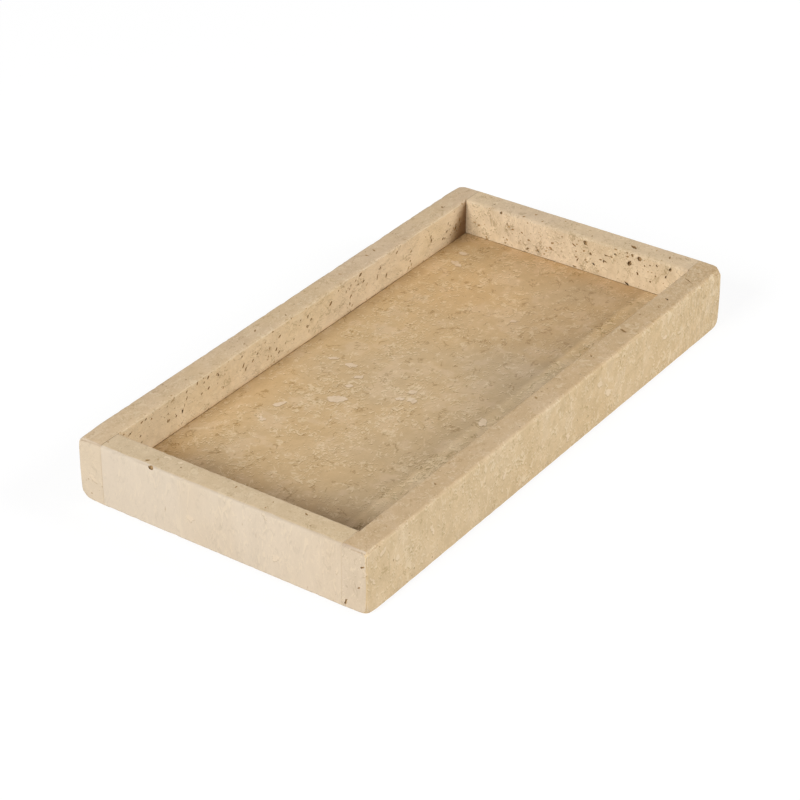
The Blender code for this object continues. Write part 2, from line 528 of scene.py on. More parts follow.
def box_faces(low, high):
    """The faces of a box as (place, width, height), by the side that they look to."""
    middle = (low + high) / 2
    size = high - low
    return {
        "-x": (face_place((low.x, middle.y, middle.z), (0, -1, 0), (0, 0, 1)), size.y, size.z),
        "+x": (face_place((high.x, middle.y, middle.z), (0, 1, 0), (0, 0, 1)), size.y, size.z),
        "-y": (face_place((middle.x, low.y, middle.z), (1, 0, 0), (0, 0, 1)), size.x, size.z),
        "+y": (face_place((middle.x, high.y, middle.z), (-1, 0, 0), (0, 0, 1)), size.x, size.z),
        "+z": (face_place((middle.x, middle.y, high.z), (1, 0, 0), (0, 1, 0)), size.x, size.y),
        "-z": (face_place((middle.x, middle.y, low.z), (1, 0, 0), (0, -1, 0)), size.x, size.y),
    }


def shade_stone(piece):
    """Smooth shading that breaks at sharp edges, and always between the stone's face and a pore."""
    shape = bmesh.new()
    shape.from_mesh(piece.data)
    for face in shape.faces:
        face.smooth = True
    for edge in shape.edges:
        kinds = {face.material_index for face in edge.link_faces}
        edge.smooth = len(kinds) == 1 and edge.calc_face_angle(0.0) < sharp_angle
    shape.to_mesh(piece.data)
    shape.free()


def open_pores(piece, pores):
    """Cuts the pores into a stone piece and gives the finished mesh its shading."""
    shape = bmesh.new()
    for mesh in pores:
        shape.from_mesh(mesh)
        bpy.data.meshes.remove(mesh)
    for face in shape.faces:
        face.material_index = 1
    cutter = object_from_bmesh("pore_cutter", shape)
    for material in piece.data.materials:
        cutter.data.materials.append(material)
    add_boolean(piece, cutter, "DIFFERENCE", "MANIFOLD")
    piece.data = settled(piece)
    piece.data.name = piece.name
    remove_object(cutter)
    shade_stone(piece)


# Shader groups

def new_group(name, inputs, outputs):
    """A shader group with named inputs (name, default) and float outputs. None stands for a vector."""
    tree = bpy.data.node_groups.new(name, "ShaderNodeTree")
    for label, value in inputs:
        kind = "NodeSocketVector" if value is None else "NodeSocketFloat"
        socket = tree.interface.new_socket(label, in_out="INPUT", socket_type=kind)
        if value is not None:
            socket.default_value = value
    for label in outputs:
        tree.interface.new_socket(label, in_out="OUTPUT", socket_type="NodeSocketFloat")
    given = add_node(tree, "NodeGroupInput").outputs
    result = add_node(tree, "NodeGroupOutput").inputs
    return tree, given, result


def place_group(group, **values):
    """The outputs of a shader group placed in the tree of its vector, with its inputs set."""
    inputs = {label.replace("_", " ").title(): value for label, value in values.items()}
    return add_node(values["vector"].id_data, "ShaderNodeGroup", inputs, node_tree=group).outputs


def noise_node(vector, scale, detail=2.0, roughness=0.5, distortion=0.0):
    return add_node(vector.id_data, "ShaderNodeTexNoise", {
        "Vector": vector, "Scale": scale, "Detail": detail, "Roughness": roughness, "Distortion": distortion})


def noise_value(*settings):
    return noise_node(*settings).outputs[0]


def fade(value, start, end):
    """0 at start and 1 at end, with a smooth step between. It runs down if end is less."""
    node = add_node(value.id_data, "ShaderNodeMapRange", interpolation_type="SMOOTHSTEP")
    set_inputs(node, {"Value": value, "From Min": start, "From Max": end})
    return node.outputs[0]


def warped(vector, scale, amount):
    """The vector pushed about by a noise of its own."""
    centred = vector_math("SUBTRACT", noise_node(vector, scale).outputs["Color"], (0.5, 0.5, 0.5))
    return vector_math("ADD", vector, vector_math("SCALE", centred, amount))


def mix(share, first, second):
    """The first colour where share is 0, and the second where it is 1."""
    node = add_node(share.id_data, "ShaderNodeMix", {0: share, 6: first, 7: second}, data_type="RGBA")
    return node.outputs[2]


def build_body_group():
    """Broad zones, clouds, mottling and fine grain of the stone, each about 0.5 on average."""
    # Name, scale, detail, roughness and distortion of each layer, and how far its ends are from 0.5
    layers = (("Zone", 22.0, 3.0, 0.55, 0.1, 0.16), ("Cloud", 75.0, 3.0, 0.6, 0.1, 0.18),
              ("Mottle", 170.0, 3.0, 0.6, 0.4, 0.18), ("Grain", 1000.0, 2.0, 0.75, 0.0, 0.20))
    inputs = [("Vector", None)] + [(layer[0] + " Scale", layer[1]) for layer in layers]
    tree, given, result = new_group("stone_body", inputs, [layer[0] for layer in layers])
    for name, _, detail, roughness, distortion, reach in layers:
        field = noise_value(given["Vector"], given[name + " Scale"], detail, roughness, distortion)
        connect(fade(field, 0.5 - reach, 0.5 + reach), result[name])
    return tree


def build_crumb_group():
    """Pale ragged crumbs, each with a dark line of painted shade on the side that Shift points away from, as
    if it stood proud and were lit from the other side.
    """
    inputs = (("Vector", None), ("Scale", 600.0), ("Level", 0.6), ("Patch Scale", 70.0), ("Shift", None))
    tree, given, result = new_group("crumbs", inputs, ("Light", "Dark"))
    vector = given["Vector"]
    patch = noise_value(vector, given["Patch Scale"])
    level = times_plus(minus(0.5, patch), 0.40, given["Level"])
    clear = plus(level, 0.022)
    light, moved = [fade(noise_value(place, given["Scale"], 2.0, 0.55, 0.9), level, clear)
                    for place in (vector, vector_math("ADD", vector, given["Shift"]))]
    connect(light, result["Light"])
    # The dark line is painted shade
    connect(calculate("MAXIMUM", minus(moved, light), 0.0), result["Dark"])
    return tree


def build_stroke_group():
    """Thin wriggling strokes, broken up so that only some stretches show."""
    inputs = (("Vector", None), ("Scale", 200.0), ("Width", 0.03), ("Share", 0.35))
    tree, given, result = new_group("strokes", inputs, ("Stroke",))
    vector = given["Vector"]
    away = calculate("ABSOLUTE", minus(noise_value(vector, given["Scale"], 3.0, 0.6, 0.6), 0.5))
    line = fade(away, given["Width"], times(given["Width"], 0.3))
    patch = noise_value(vector_math("ADD", vector, (0.9, 0.4, 0.7)), times(given["Scale"], 1.3), 1.0)
    start = minus(0.85, given["Share"])
    connect(times(line, fade(patch, start, plus(start, 0.06))), result["Stroke"])
    return tree


def build_pinhole_group():
    """Pores too small to cut, as dark ragged dots that keep to patches."""
    inputs = (("Vector", None), ("Scale", 520.0), ("Share", 0.05), ("Size", 0.24), ("Patch Scale", 60.0))
    tree, given, result = new_group("pinholes", inputs, ("Pore",))
    patch = noise_value(given["Vector"], given["Patch Scale"], 1.0)
    vector = warped(given["Vector"], times(given["Scale"], 3.0), calculate("DIVIDE", 0.35, given["Scale"]))
    cells = add_node(tree, "ShaderNodeTexVoronoi", {"Vector": vector, "Scale": given["Scale"]}, feature="F1")
    draws = add_node(tree, "ShaderNodeSeparateColor", {0: cells.outputs["Color"]}).outputs
    picked = calculate("LESS_THAN", draws[0], given["Share"])
    size = times(given["Size"], times_plus(draws[1], 0.7, 0.5))
    dots = times(picked, fade(minus(size, cells.outputs["Distance"]), -0.02, 0.08))
    connect(times(dots, fade(patch, 0.42, 0.55)), result["Pore"])
    return tree


def build_inclusion_group(name, marks_by_face):
    """Shell-like inclusions seen in the photo. Reach is 1 at the outline of the nearest one."""
    tree, given, result = new_group(name, (("Vector", None),), ("Reach",))
    vector = warped(given["Vector"], 480.0, 0.0034)
    nearest = 9.0
    for face, marks in marks_by_face:
        for across, height, half, narrow, lean in marks:
            spot = spot_place(face, across, height, lean)
            place = add_node(tree, "ShaderNodeMapping",
                             {"Vector": vector, "Location": spot.translation, "Rotation": spot.to_euler(),
                              "Scale": Vector((half, narrow, inclusion_depth)) / per_metre},
                             vector_type="TEXTURE")
            nearest = calculate("MINIMUM", nearest, vector_math("LENGTH", place.outputs[0]))
    connect(nearest, result["Reach"])
    return tree


body_group = build_body_group()
crumb_group = build_crumb_group()
stroke_group = build_stroke_group()
pinhole_group = build_pinhole_group()

# Inclusions seen in the photo: how far they reach into the stone, and along, up, half sizes and lean of each
inclusion_depth = 1.6
floor_inclusions = (
    (-34.0, 22.4, 4.9, 3.0, 128), (-5.5, 34.9, 3.0, 2.0, 110), (-52.9, 41.4, 3.3, 1.8, 153),
    (-4.9, 45.5, 2.4, 1.3, 110), (-15.2, -7.2, 2.7, 1.9, 67), (-12.3, 25.7, 2.6, 1.6, 140),
    (-21.1, 24.6, 2.0, 1.4, 125), (-17.1, -1.9, 2.2, 1.1, 125), (-8.9, -2.6, 2.2, 1.6, 125),
    (-67.6, 40.1, 1.9, 1.2, 58), (74.1, -5.2, 1.9, 1.1, 125), (106.7, 50.6, 4.0, 1.7, 70),
    (117.5, 53.5, 3.0, 1.7, 100), (-12.2, -44.5, 4.0, 2.1, 19),
)
long_face_inclusions = (
    (42.1, 14.0, 3.2, 1.8, 133), (-102.0, 17.2, 2.6, 1.0, 109), (-138.7, 26.3, 2.7, 1.1, 25),
    (33.9, 22.3, 2.4, 1.6, 164), (-46.1, 15.2, 2.2, 1.3, 84), (-146.0, 15.9, 3.0, 0.8, 126),
    (7.1, 7.5, 2.3, 1.5, 98), (-128.2, 17.7, 1.8, 1.3, 10), (94.0, 18.7, 2.6, 1.0, 165),
)
near_top_inclusions = ((-140.4, 34.8, 2.2, 0.9, 100), (-140.2, 28.2, 1.4, 0.8, 85))
near_face_inclusions = (
    (70.5, 12.5, 2.8, 1.1, -147), (15.9, 12.9, 2.4, 1.6, 166), (-77.3, 22.0, 2.0, 0.8, 90),
    (-30.6, 10.6, 2.2, 1.5, 116), (-63.0, 17.0, 1.3, 0.9, 95), (-25.4, 30.1, 2.4, 0.6, 45),
)

# A face is given by a point on it, its way along and its way up
top_face = face_place((0, 0, rail_top), (1, 0, 0), (0, 1, 0))
floor_group = build_inclusion_group("floor_inclusions", (
    (face_place((0, 0, floor_level), (1, 0, 0), (0, 1, 0)), floor_inclusions),))
rail_group = build_inclusion_group("rail_inclusions", (
    (face_place((0, -half_width, rail_bottom), (1, 0, 0), (0, 0, 1)), long_face_inclusions),
    (face_place((-half_length, 0, rail_bottom), (0, 1, 0), (0, 0, 1)), near_face_inclusions),
    (top_face, near_top_inclusions)))


# Stone finishes

def new_finish(name):
    """A new material, with its shader and the outputs of its coordinates."""
    material = bpy.data.materials.new(name)
    material.use_nodes = True
    tree = material.node_tree
    return material, tree.nodes["Principled BSDF"], add_node(tree, "ShaderNodeTexCoord").outputs


def add_bump(shader, height, strength, depth):
    bump = add_node(shader.id_data, "ShaderNodeBump",
                    {"Strength": strength, "Distance": depth, "Height": height})
    connect(bump.outputs[0], shader.inputs["Normal"])


def axes_of(vector):
    """The three parts of a vector."""
    return add_node(vector.id_data, "ShaderNodeSeparateXYZ", {0: vector}).outputs


def layered(colour, mask, strength, tone):
    """The colour with a tone laid over it where the mask is 1."""
    return mix(times(mask, strength), colour, srgb(*tone))


def tinted(colour, mask, tint):
    """The colour times a tint where the mask is 1."""
    return vector_math("MULTIPLY", colour, mix(mask, (1.0, 1.0, 1.0, 1.0), (*tint, 1.0)))


def weighed(total, parts):
    """The total plus each part times its weight."""
    for part, weight in parts:
        total = times_plus(part, weight, total)
    return total


def read_stone(coordinates, look):
    """All that the colour and relief of a stone are worked out from, as outputs with names."""
    place = coordinates["Object"]
    spot = axes_of(place)
    facing = axes_of(coordinates["Normal"])
    moved = vector_math("ADD", place, look["shift"])
    bedded = vector_math("MULTIPLY", moved, look["squeeze"])
    body = place_group(body_group, vector=bedded, **look["body"])
    coarse = place_group(crumb_group, vector=bedded, patch_scale=45.0, shift=look["shadow"], **look["coarse"])
    fine = place_group(crumb_group, vector=bedded, patch_scale=70.0, shift=look["shadow"], **look["fine"])
    lines = vector_math("MULTIPLY", moved, look["stroke_squeeze"])
    pale_lines = vector_math("ADD", lines, (0.23, 0.41, 0.17))
    drift = vector_math("DOT_PRODUCT", place, look["drift"])
    near_face = times(fade(facing[0], -0.15, -0.6), fade(spot[0], -0.140, -0.1475))
    reach = place_group(look["inclusions"], vector=place)["Reach"]
    # The inclusions again, shifted, for painted shade on one side of each
    cast = place_group(look["inclusions"], vector=vector_math("ADD", place, look["shadow"]))["Reach"]
    inclusion = fade(reach, 1.04, 0.86)
    return SimpleNamespace(
        spot=spot, facing=facing, moved=moved,
        cloud=body["Cloud"], mottle=body["Mottle"], grain=body["Grain"],
        zone=fade(plus(times_plus(body["Zone"], 0.6, 0.2), drift), 0.0, 1.0),
        coarse=coarse["Light"], coarse_edge=coarse["Dark"], fine=fine["Light"], fine_edge=fine["Dark"],
        dark_strokes=place_group(stroke_group, vector=lines, scale=look["stroke_scale"],
                                 share=look["stroke_share"])["Stroke"],
        pale_strokes=place_group(stroke_group, vector=pale_lines, scale=look["stroke_scale"] * 1.25,
                                 share=look["stroke_share"])["Stroke"],
        pinholes=place_group(pinhole_group, vector=bedded, share=look["pore_share"])["Pore"],
        inclusion=inclusion, inclusion_shade=times(fade(cast, 1.10, 0.90), minus(1.0, inclusion)),
        smooth_end=times(near_face, fade(facing[1], -0.55, -0.15)), on_top=fade(facing[2], 0.5, 0.9))


def ground_colour(stone, look):
    """The stone's colour before its marks: zones, patches, the near face, painted shade and tone on the top,
    and painted shade and highlight on the rim's easing.
    """
    colour = mix(stone.zone, srgb(*look["cool"]), srgb(*look["warm"]))
    colour = layered(colour, fade(stone.cloud, 0.62, 0.95), look["patch_light"], look["patch"])
    colour = mix(stone.smooth_end, colour, mix(stone.zone, srgb(*look["end_cool"]), srgb(*look["end_warm"])))
    # Painted shade on the top faces, with a change of tone
    colour = tinted(colour, stone.on_top, look["top_shade_and_tone"])
    # Painted shade on eased edges whose normal leans up and towards -Y, painted highlight on those that lean
    # up and towards +Y
    slanted = times(stone.facing[1], stone.facing[2])
    for mask, change in ((fade(slanted, -0.10, -0.40), -look["rim_painted_shade"]),
                         (fade(slanted, 0.08, 0.35), look["rim_painted_highlight"])):
        colour = vector_math("SCALE", colour, times_plus(mask, change, 1.0))
    return colour


def mark_strength(stone, look):
    """How strongly the marks show: less on the near face and on the top, more towards the near end."""
    calm_share = times_plus(fade(stone.spot[1], 0.020, -0.025), -look["end_flakes"], 0.7)
    strength = times_plus(times(stone.smooth_end, calm_share), -1.0, 1.0)
    rough_share = times(fade(stone.spot[0], -0.105, -0.130), look["near_end_marks"])
    strength = times(strength, plus(rough_share, 1.0))
    return times(strength, times_plus(stone.on_top, -look["top_calm"], 1.0))


def with_marks(colour, stone, look):
    """The colour with the stone's grain, crumbs, strokes, inclusions and pinholes."""
    strength = mark_strength(stone, look)
    # The crumbs' dark edges are painted shade beside them
    tone = weighed(times_plus(stone.grain, look["grain"], -0.5 * look["grain"]), (
        (minus(stone.mottle, 0.5), look["mottle"]), (minus(stone.cloud, 0.5), look["cloud"]),
        (stone.fine_edge, -look["crumb_dark"]), (stone.coarse_edge, -look["crumb_dark"]),
        (stone.dark_strokes, -look["stroke_dark"])))
    colour = vector_math("ADD", colour, vector_math("SCALE", look["tint"], times(tone, strength)))
    crumbs = calculate("MAXIMUM", calculate("MAXIMUM", stone.fine, stone.coarse), stone.pale_strokes)
    colour = layered(colour, times(crumbs, strength), look["crumb_light"], look["crumb"])
    pale_share = times(times_plus(stone.mottle, 0.45, 0.65), times_plus(stone.smooth_end, -0.7, 1.0))
    colour = layered(colour, times(pale_share, stone.inclusion), look["inclusion_light"], look["shell"])
    # Painted shade on one side of each inclusion
    colour = layered(colour, stone.inclusion_shade, look["inclusion_dark"], look["vein"])
    return layered(colour, stone.pinholes, 0.75, look["vein"])


def with_streaks(colour, stone, look):
    """The colour with upright pale and dark streaks towards the far end of the right rail."""
    far_end = fade(stone.spot[0], 0.085, 0.125)
    upright = vector_math("MULTIPLY", stone.moved, (1.0, 1.0, 0.28))
    for push, share, tone in ((0.1, 0.22, look["vein"]), (0.6, 0.26, look["crumb"])):
        vector = vector_math("ADD", upright, (push, push, push))
        streak = place_group(stroke_group, vector=vector, scale=480.0, width=0.09, share=0.42)["Stroke"]
        colour = layered(colour, streak, times(far_end, share), tone)
    return colour


def with_corner_shade(colour, stone):
    """The colour with painted shade on the left rail's inner side, along its foot and in the corner towards
    the far rail.
    """
    on_wall = fade(stone.facing[1], -0.5, -0.9)
    # Painted shade along the foot of the inner side
    foot = times(on_wall, fade(stone.spot[2], floor_level + 0.0020, floor_level))
    colour = tinted(colour, foot, (0.94, 0.88, 0.80))
    # Painted shade in the corner by the far rail, reaching further out low down
    away = times_plus(minus(rail_top, stone.spot[2]), -0.55, minus(well_x, stone.spot[0]))
    return layered(colour, times(fade(away, 0.010, -0.005), on_wall), 0.78, (112, 72, 30))


def new_stone(name, look):
    """A travertine finish. look gives its colours, the lie of its bedding and how strong each mark is."""
    material, shader, coordinates = new_finish(name)
    stone = read_stone(coordinates, look)
    colour = with_marks(ground_colour(stone, look), stone, look)
    for along, across, tint in look["bands"]:
        band = times(fade(stone.spot[0], *along), fade(stone.spot[1], *across))
        colour = tinted(colour, band, tint)
    if look["streaks"]:
        colour = with_streaks(colour, stone, look)
    if look["corner_shade"]:
        colour = with_corner_shade(colour, stone)
    height = weighed(times(stone.grain, 0.35), (
        (stone.mottle, 0.35), (stone.fine, 0.5), (stone.coarse, 0.6), (stone.coarse_edge, -0.8),
        (stone.dark_strokes, -0.8), (stone.pinholes, -1.6)))
    add_bump(shader, height, look["bump"], 0.00012)
    roughness = times_plus(stone.mottle, 0.14, look["roughness"])
    set_inputs(shader, {"Base Color": colour, "Roughness": roughness, "Specular IOR Level": 0.32})
    return material


# The right rail's look, which the others change
rail_look = {
    "squeeze": (1.0, 1.0, 0.7), "shift": (0.31, 0.12, 0.05), "drift": (3.0, 0.0, 0.0),
    "body": {"zone_scale": 22.0, "cloud_scale": 80.0, "mottle_scale": 210.0, "grain_scale": 1200.0},
    "coarse": {"scale": 320.0, "level": 0.635}, "fine": {"scale": 850.0, "level": 0.62},
    "stroke_squeeze": (1.0, 1.0, 0.6), "stroke_scale": 150.0, "stroke_share": 0.30, "pore_share": 0.05,
    # shadow: the shift of the painted shade beside crumbs and inclusions
    "shadow": (0.0002, 0.0, 0.0005), "inclusions": rail_group,
    "corner_shade": False, "streaks": False, "bands": (),
    "warm": (205, 178, 136), "cool": (208, 183, 144),
    "end_warm": (191, 172, 144), "end_cool": (193, 175, 152),
    "shell": (226, 205, 175), "vein": (146, 118, 82), "patch": (218, 198, 170), "crumb": (230, 212, 180),
    "top_shade_and_tone": (0.90, 0.862, 0.865), "tint": (0.58, 0.50, 0.40),
    "patch_light": 0.15, "rim_painted_shade": 0.0, "rim_painted_highlight": 0.0,
    "top_calm": 0.3, "end_flakes": 0.30, "near_end_marks": 0.0,
    "cloud": 0.08, "mottle": 0.11, "grain": 0.08, "crumb_light": 0.42, "crumb_dark": 0.14,
    "stroke_dark": 0.18, "inclusion_light": 0.7, "inclusion_dark": 0.3, "bump": 0.3, "roughness": 0.5,
}

# Tints of the floor: from where each sets in to where it is full along X and along Y, and the tint. Some are
# the stone's colour; those marked are painted light and shade.
everywhere = (-2.0, -1.0)
# Across Y, the strip beside the right rail that takes painted light
painted_light_strip = (-0.0408, -0.0445)
floor_bands = (
    ((0.020, 0.090), everywhere, (1.01, 0.95, 0.87)),
    # The next two are painted light along the foot of the far rail, lightening its shade
    ((0.118, 0.134), (-0.042, -0.034), (1.15, 1.14, 1.12)),
    ((0.120, 0.130), (-0.003, -0.014), (1.07, 1.06, 1.05)),
    ((0.020, 0.0), (-0.014, -0.024), (0.97, 0.97, 0.965)),
    # Painted shade beside the near rail, browner in tone
    ((-0.096, -0.118), everywhere, (0.885, 0.835, 0.775)),
    # Painted shade along the foot of the left rail
    (everywhere, (0.0550, 0.0650), (0.84, 0.83, 0.80)),
    # Painted shadow of the right rail over the floor's far right part
    ((-0.020, 0.050), (0.010, -0.020), (0.88, 0.895, 0.93)),
    ((-0.040, 0.020), (0.036, 0.046), (0.935, 0.950, 0.965)),
    ((0.095, 0.125), (0.026, 0.042), (0.91, 0.925, 0.94)),
    # The next three are painted light beside the right rail, stronger over the far half and weaker by the far
    # rail
    (everywhere, painted_light_strip, (1.24, 1.27, 1.29)),
    ((0.0, 0.06), painted_light_strip, (1.10, 1.11, 1.10)),
    ((0.100, 0.128), painted_light_strip, (0.95, 0.97, 1.01)),
    ((-0.090, -0.120), (0.010, -0.030), (0.91, 0.895, 0.90)),
)

right_stone = new_stone("right_rail_travertine", dict(rail_look, streaks=True, rim_painted_highlight=0.10))
left_stone = new_stone("left_rail_travertine", dict(
    rail_look, shift=(0.77, 0.42, 0.15), drift=(0.0, 0.0, 0.0), squeeze=(0.8, 1.0, 1.0),
    stroke_squeeze=(0.7, 1.0, 1.0), warm=(220, 198, 161), cool=(218, 197, 166),
    end_warm=(197, 179, 153), end_cool=(199, 182, 159), top_shade_and_tone=(0.863, 0.808, 0.773),
    pore_share=0.14, corner_shade=True, rim_painted_shade=0.04, cloud=0.10, mottle=0.13, stroke_dark=0.26))
near_stone = new_stone("near_rail_travertine", dict(
    rail_look, shift=(0.11, 0.92, 0.35), drift=(0.0, -4.5, 0.0), squeeze=(1.0, 1.0, 0.3),
    warm=(211, 187, 150), cool=(209, 187, 154), end_warm=(196, 177, 152), end_cool=(200, 185, 165),
    end_flakes=0.10, top_shade_and_tone=(0.975, 0.965, 0.955)))
far_stone = new_stone("far_rail_travertine", dict(
    rail_look, shift=(0.51, 0.22, 0.75), drift=(0.0, 0.0, 0.0), warm=(209, 188, 155), cool=(207, 187, 159),
    top_shade_and_tone=(1.03, 0.986, 0.946), pore_share=0.16, cloud=0.12, mottle=0.15, crumb_light=0.4,
    crumb_dark=0.26, stroke_dark=0.30))
base_stone = new_stone("base_travertine", dict(
    rail_look, squeeze=(0.9, 1.0, 1.0), shift=(0.21, 0.64, 0.44), drift=(0.8, 4.0, 0.0),
    body=dict(rail_look["body"], zone_scale=18.0, cloud_scale=85.0, mottle_scale=200.0),
    coarse={"scale": 360.0, "level": 0.64}, fine={"scale": 680.0, "level": 0.625},
    stroke_squeeze=(0.9, 1.0, 1.0), stroke_scale=120.0, stroke_share=0.32, pore_share=0.03,
    shadow=(0.00035, 0.00035, 0.0), inclusions=floor_group, bands=floor_bands,
    warm=(202, 171, 127), cool=(196, 170, 133), shell=(223, 201, 174), vein=(136, 106, 70),
    patch=(216, 190, 158), crumb=(230, 209, 174), top_shade_and_tone=(1.0, 1.0, 1.0), tint=(0.55, 0.46, 0.34),
    patch_light=0.28, inclusion_light=0.82, inclusion_dark=0.5, cloud=0.06, mottle=0.085, grain=0.05,
    crumb_light=0.45, crumb_dark=0.26, stroke_dark=0.26, bump=0.2, top_calm=0.0, near_end_marks=0.6))


def new_pore_wall():
    """The rough, earthy inside of an open pore."""
    material, shader, coordinates = new_finish("pore_wall")
    body = place_group(body_group, vector=coordinates["Object"], zone_scale=80.0, mottle_scale=500.0,
                       grain_scale=2500.0)
    colour = mix(body["Zone"], srgb(186, 154, 110), srgb(150, 116, 74))
    colour = layered(colour, body["Grain"], 0.35, (202, 174, 132))
    add_bump(shader, body["Grain"], 0.8, 0.0002)
    set_inputs(shader, {"Base Color": colour, "Roughness": 0.9, "Specular IOR Level": 0.15})
    return material


def new_resin(name, clean, dirty, clean_end):
    """Stone adhesive in a joint. clean_end is how far it keeps to the clean colour on the near face."""
    material, shader, coordinates = new_finish(name)
    facing = axes_of(coordinates["Normal"])
    body = place_group(body_group, vector=coordinates["Object"], zone_scale=260.0, mottle_scale=600.0,
                       grain_scale=1500.0)
    on_end = times(fade(facing[0], -0.3, -0.8), clean_end)
    colour = mix(times(body["Zone"], minus(1.0, on_end)), srgb(*clean), srgb(*dirty))
    add_bump(shader, body["Mottle"], 0.5, 0.0001)
    set_inputs(shader, {"Base Color": colour, "Roughness": times_plus(body["Grain"], 0.2, 0.45)})
    return material


pore_wall = new_pore_wall()
joint_resin = new_resin("joint_resin", (194, 175, 148), (184, 160, 126), 1.0)
stained_resin = new_resin("stained_resin", (194, 175, 149), (124, 94, 58), 1.0)
floor_resin = new_resin("floor_resin", (168, 138, 96), (118, 90, 56), 0.0)
pore_tree = build_pore_tree()
eased_block = make_eased_block("eased_block", 0.0)
rim_cutter = make_rim_cutter()

# Pores of each face: spread per square metre, half sizes in metres, lean in radians
few_pores = {"Density": 12000.0, "Smallest": 0.00012, "Largest": 0.0005, "Stretch": 1.5, "Depth": 1.1,
             "Lean": 0.0, "Patch Size": 0.020, "Cover": 0.50}
hardly_any_pores = dict(few_pores, Density=2500.0, Largest=0.0003)
tiny_pores = dict(few_pores, Density=3000.0, Largest=0.0003)
some_pores = dict(few_pores, Density=40000.0, Largest=0.0006)
many_pores = dict(few_pores, Density=90000.0, Largest=0.0006, Cover=0.52)
leaning_pores = dict(some_pores, Density=80000.0, Stretch=1.9, Lean=0.9)

# Each piece's seed times this is the seed of its first face, and each face has a seed of its own
seeds_per_piece = 10

# Depth of a seen pore, for its half height
seen_pore_depth = 1.1

# Pores seen in the photo, in millimetres along and up each face: place, half length, half height, lean
left_wall_pores = (
    (127.7, 20.9, 1.5, 1.0, 35), (105.9, 22.9, 1.0, 0.8, 60), (-74.4, 25.2, 0.9, 0.6, 50),
    (0.6, 22.5, 0.8, 0.6, 40), (-121.7, 30.7, 0.9, 0.5, 20), (61.4, 27.3, 0.9, 0.5, 20),
    (-48.6, 24.6, 1.5, 0.5, 55), (-47.0, 21.9, 1.1, 0.5, 60), (-90.2, 27.4, 1.1, 0.4, 60),
    (19.8, 26.0, 1.5, 0.7, 40), (-41.5, 23.8, 1.3, 0.4, 50), (-93.5, 22.2, 1.1, 0.4, 60),
    (47.2, 26.2, 1.1, 0.6, 40), (-103.6, 25.9, 0.6, 0.4, 40), (-11.2, 32.7, 0.9, 0.5, 60),
    (116.5, 19.6, 0.8, 0.6, 45), (-100.5, 31.1, 0.9, 0.35, 30), (-49.5, 29.8, 0.7, 0.5, 40),
    (49.9, 23.2, 1.0, 0.35, 40), (66.5, 20.9, 1.4, 0.6, 70), (-134.0, 30.7, 0.6, 0.45, 20),
    (-129.9, 28.8, 0.7, 0.5, 10), (-136.2, 32.9, 0.7, 0.5, 0), (-122.6, 20.7, 0.6, 0.35, 60),
    (-104.2, 22.6, 0.8, 0.45, 60), (-93.8, 22.6, 0.7, 0.5, 90), (58.8, 23.2, 1.6, 0.35, 80),
    (42.7, 26.4, 0.7, 0.4, 20), (36.7, 28.5, 0.7, 0.45, 60), (1.6, 27.6, 1.0, 0.5, 60),
    (0.5, 32.5, 0.6, 0.4, 30), (4.0, 24.8, 0.9, 0.5, 60), (131.8, 24.2, 1.5, 0.6, 75),
    (132.8, 20.8, 1.0, 0.5, 80), (-4.1, 28.0, 0.6, 0.4, 30),
)
far_wall_pores = (
    (-32.6, 26.6, 1.6, 1.3, 118), (-6.6, 30.1, 1.5, 1.0, 42), (-0.9, 15.0, 1.2, 0.5, 0),
    (-38.0, 30.8, 1.3, 1.1, 41), (-55.6, 30.2, 1.1, 0.9, 131), (-9.9, 25.0, 0.9, 0.7, 64),
    (-31.5, 15.0, 1.3, 0.7, 30), (-53.4, 25.4, 0.4, 1.0, 10), (-41.2, 27.8, 0.6, 0.5, 0),
    (-33.9, 31.5, 0.8, 0.6, 60), (-30.9, 32.0, 0.6, 0.4, 30), (-47.5, 24.1, 0.5, 0.5, 0),
    (-44.2, 29.1, 0.5, 0.5, 0), (-37.3, 22.4, 0.9, 0.6, 70), (-18.4, 23.4, 0.9, 0.4, 15),
    (-19.1, 26.8, 1.5, 0.4, 0), (0.0, 27.1, 1.4, 0.5, 29), (43.9, 32.0, 0.9, 0.7, 129),
    (-2.4, 19.4, 1.2, 0.4, 114), (-24.2, 29.2, 0.9, 0.5, 0), (-31.8, 14.8, 0.9, 0.4, 0),
    (-48.1, 29.9, 0.8, 0.5, 37), (13.0, 20.3, 1.2, 0.35, 0), (-7.0, 20.6, 1.0, 0.4, 146),
    (27.3, 16.4, 1.2, 0.4, 148), (40.1, 26.7, 0.7, 0.4, 93), (59.9, 21.8, 0.7, 0.35, 142),
    (-44.9, 20.1, 0.6, 0.5, 0), (-17.6, 22.8, 0.7, 0.4, 58),
)
left_top_pores = (
    (59.3, 72.4, 0.9, 0.6, 102), (-31.4, 71.7, 1.1, 0.45, 24), (36.2, 71.8, 0.9, 0.5, 119),
    (65.7, 72.4, 1.5, 0.5, 66), (123.6, 70.9, 0.9, 0.6, 60), (-11.3, 68.9, 0.8, 0.4, 60),
)
right_top_pores = (
    (68.4, -69.8, 2.4, 0.7, 67), (137.4, -71.2, 1.2, 0.4, 90), (128.4, -70.7, 3.4, 0.3, 60),
    (106.3, -71.4, 1.6, 0.4, 60), (97.5, -72.1, 0.9, 0.4, 60), (86.0, -68.6, 0.7, 0.5, 40),
    (-6.2, -68.9, 1.2, 0.6, 55), (-90.5, -71.6, 1.0, 0.5, 65), (39.9, -69.8, 1.3, 0.5, 40),
)
near_top_pores = ((-146.8, 40.9, 1.1, 0.7, 126), (-140.7, -40.6, 1.2, 0.5, 60), (-141.4, -23.5, 0.5, 0.4, 0))
